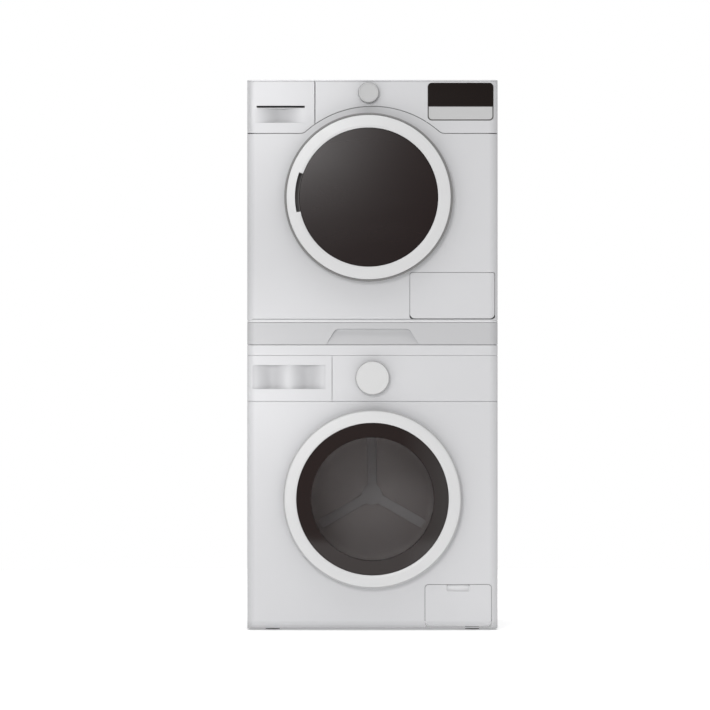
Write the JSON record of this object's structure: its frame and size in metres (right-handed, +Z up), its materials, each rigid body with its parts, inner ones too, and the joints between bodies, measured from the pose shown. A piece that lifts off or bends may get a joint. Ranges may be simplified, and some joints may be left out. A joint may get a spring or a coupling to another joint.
{
  "type": "washer dryer stack",
  "caption": "Front-loading washer with a condenser dryer on top, joined by a stacking kit with a pull-out shelf; doors, drawer, container, flaps, knobs and drums move.",
  "frame": {"origin": "on the floor under the middle of the stack's bounding box", "axes": "+Z up, +X to the right seen from the front, doors face -Y"},
  "size_m": [0.6, 0.6, 1.3175],
  "materials": {
    "enamel": "satin white enamel",
    "moulding": "fine-grained satin white plastic",
    "shelf_grey": "satin light grey plastic",
    "door_ring": "semi-gloss white plastic",
    "tinted_glass": "clear gloss, dark tint",
    "dark_glass": "polished near-black glass",
    "dark_plastic": "fine-grained near-black",
    "rubber": "matt grey",
    "stainless": "brushed",
    "cast_metal": "as cast, matt",
    "inner_plastic": "matt grey polypropylene",
    "tank": "translucent white, satin"
  },
  "bodies": {
    "cabinet": {"washer_cabinet": "enamel", "washer_base": "cast_metal", "washer_front_panel": "enamel", "washer_fascia": "moulding", "washer_worktop": "moulding", "detergent_drawer_housing": "inner_plastic", "washer_drain_pump": "inner_plastic", "washer_tub": "inner_plastic", "washer_door_seal": "rubber", "washer_belt": "rubber", "washer_motor": "cast_metal", "washer_inlet_valve": "dark_plastic", "washer_cord_gland": "dark_plastic", "washer_door_lock": "inner_plastic", "washer_hinge_bracket": "cast_metal", "washer_hinge_pin": "stainless", "foot_front_left": "dark_plastic", "foot_front_right": "dark_plastic", "foot_rear_left": "dark_plastic", "foot_rear_right": "dark_plastic", "stacking_frame": "shelf_grey", "dryer_cabinet": "enamel", "dryer_base": "inner_plastic", "dryer_front_panel": "enamel", "dryer_fascia": "moulding", "dryer_top": "moulding", "dryer_display": "dark_glass", "dryer_bulkhead": "inner_plastic", "dryer_lint_filter": "tank", "dryer_motor": "cast_metal", "dryer_heat_exchanger": "stainless", "dryer_cord_gland": "dark_plastic", "dryer_hinge_bracket": "cast_metal", "dryer_hinge_pin": "stainless"},
    "washer_door": {"washer_door_ring": "door_ring", "washer_door_glass": "tinted_glass", "washer_door_bowl": "tinted_glass", "washer_door_frame": "dark_plastic"},
    "detergent_drawer": {"detergent_drawer_front": "moulding", "detergent_drawer_tray": "tank"},
    "washer_knob_body": {"washer_knob": "door_ring"},
    "filter_flap_body": {"washer_filter_flap": "moulding"},
    "filter_cap_body": {"washer_filter_cap": "dark_plastic"},
    "washer_drum_body": {"washer_drum": "stainless", "washer_drum_spider": "cast_metal", "washer_drum_pulley": "cast_metal"},
    "washer_motor_rotor": {"washer_motor_pulley": "cast_metal"},
    "shelf": {"shelf_front": "shelf_grey", "shelf_tray": "inner_plastic"},
    "dryer_door": {"dryer_door_ring": "door_ring", "dryer_door_glass": "dark_glass", "dryer_door_inner": "inner_plastic", "dryer_door_grip": "dark_plastic"},
    "water_container": {"water_container_front": "moulding", "water_container_tank": "tank"},
    "dryer_knob_body": {"dryer_knob": "door_ring"},
    "service_flap_body": {"dryer_service_flap": "moulding"},
    "dryer_drum_body": {"dryer_drum": "stainless"},
    "dryer_fan_body": {"dryer_fan": "inner_plastic"}
  },
  "joints": [
    {"name": "washer_door_swing", "type": "hinge", "parent": "cabinet", "child": "washer_door", "pos_m": [-0.2014, -0.285, 0.3149], "axis": [0, 0, -1], "range_deg": [0, 120]},
    {"name": "detergent_drawer_slide", "type": "slide", "parent": "cabinet", "child": "detergent_drawer", "axis": [0, -1, 0], "range_m": [0, 0.2]},
    {"name": "washer_knob_turn", "type": "hinge", "parent": "cabinet", "child": "washer_knob_body", "pos_m": [0, -0.2685, 0.6041], "axis": [0, 1, 0], "continuous": true},
    {"name": "filter_flap_drop", "type": "hinge", "parent": "cabinet", "child": "filter_flap_body", "pos_m": [0.2053, -0.261, 0.011], "axis": [1, 0, 0], "range_deg": [0, 75]},
    {"name": "filter_cap_turn", "type": "hinge", "parent": "cabinet", "child": "filter_cap_body", "pos_m": [0.2053, -0.2325, 0.066], "axis": [0, 1, 0], "range_deg": [0, 90]},
    {"name": "washer_drum_spin", "type": "hinge", "parent": "cabinet", "child": "washer_drum_body", "pos_m": [0, 0, 0.3149], "axis": [0, 1, 0], "continuous": true},
    {"name": "washer_motor_spin", "type": "hinge", "parent": "cabinet", "child": "washer_motor_rotor", "pos_m": [0.19, 0.1705, 0.1], "axis": [0, 1, 0], "continuous": true},
    {"name": "shelf_slide", "type": "slide", "parent": "cabinet", "child": "shelf", "axis": [0, -1, 0], "range_m": [0, 0.38]},
    {"name": "dryer_door_swing", "type": "hinge", "parent": "cabinet", "child": "dryer_door", "pos_m": [0.1802, -0.285, 1.036], "axis": [0, 0, 1], "range_deg": [0, 120]},
    {"name": "water_container_slide", "type": "slide", "parent": "cabinet", "child": "water_container", "axis": [0, -1, 0], "range_m": [0, 0.3]},
    {"name": "dryer_knob_turn", "type": "hinge", "parent": "cabinet", "child": "dryer_knob_body", "pos_m": [-0.0093, -0.2685, 1.2865], "axis": [0, 1, 0], "continuous": true},
    {"name": "service_flap_drop", "type": "hinge", "parent": "cabinet", "child": "service_flap_body", "pos_m": [0.191, -0.2653, 0.7484], "axis": [1, 0, 0], "range_deg": [0, 90]},
    {"name": "dryer_drum_spin", "type": "hinge", "parent": "cabinet", "child": "dryer_drum_body", "pos_m": [-0.0093, 0, 1.036], "axis": [0, 1, 0], "continuous": true},
    {"name": "dryer_fan_spin", "type": "hinge", "parent": "cabinet", "child": "dryer_fan_body", "pos_m": [-0.2, 0.1415, 0.803], "axis": [0, 1, 0], "continuous": true}
  ],
  "couplings": [
    {"joint": "washer_motor_spin", "follows": "washer_drum_spin", "ratio": 10},
    {"joint": "dryer_fan_spin", "follows": "dryer_drum_spin", "ratio": 29}
  ]
}
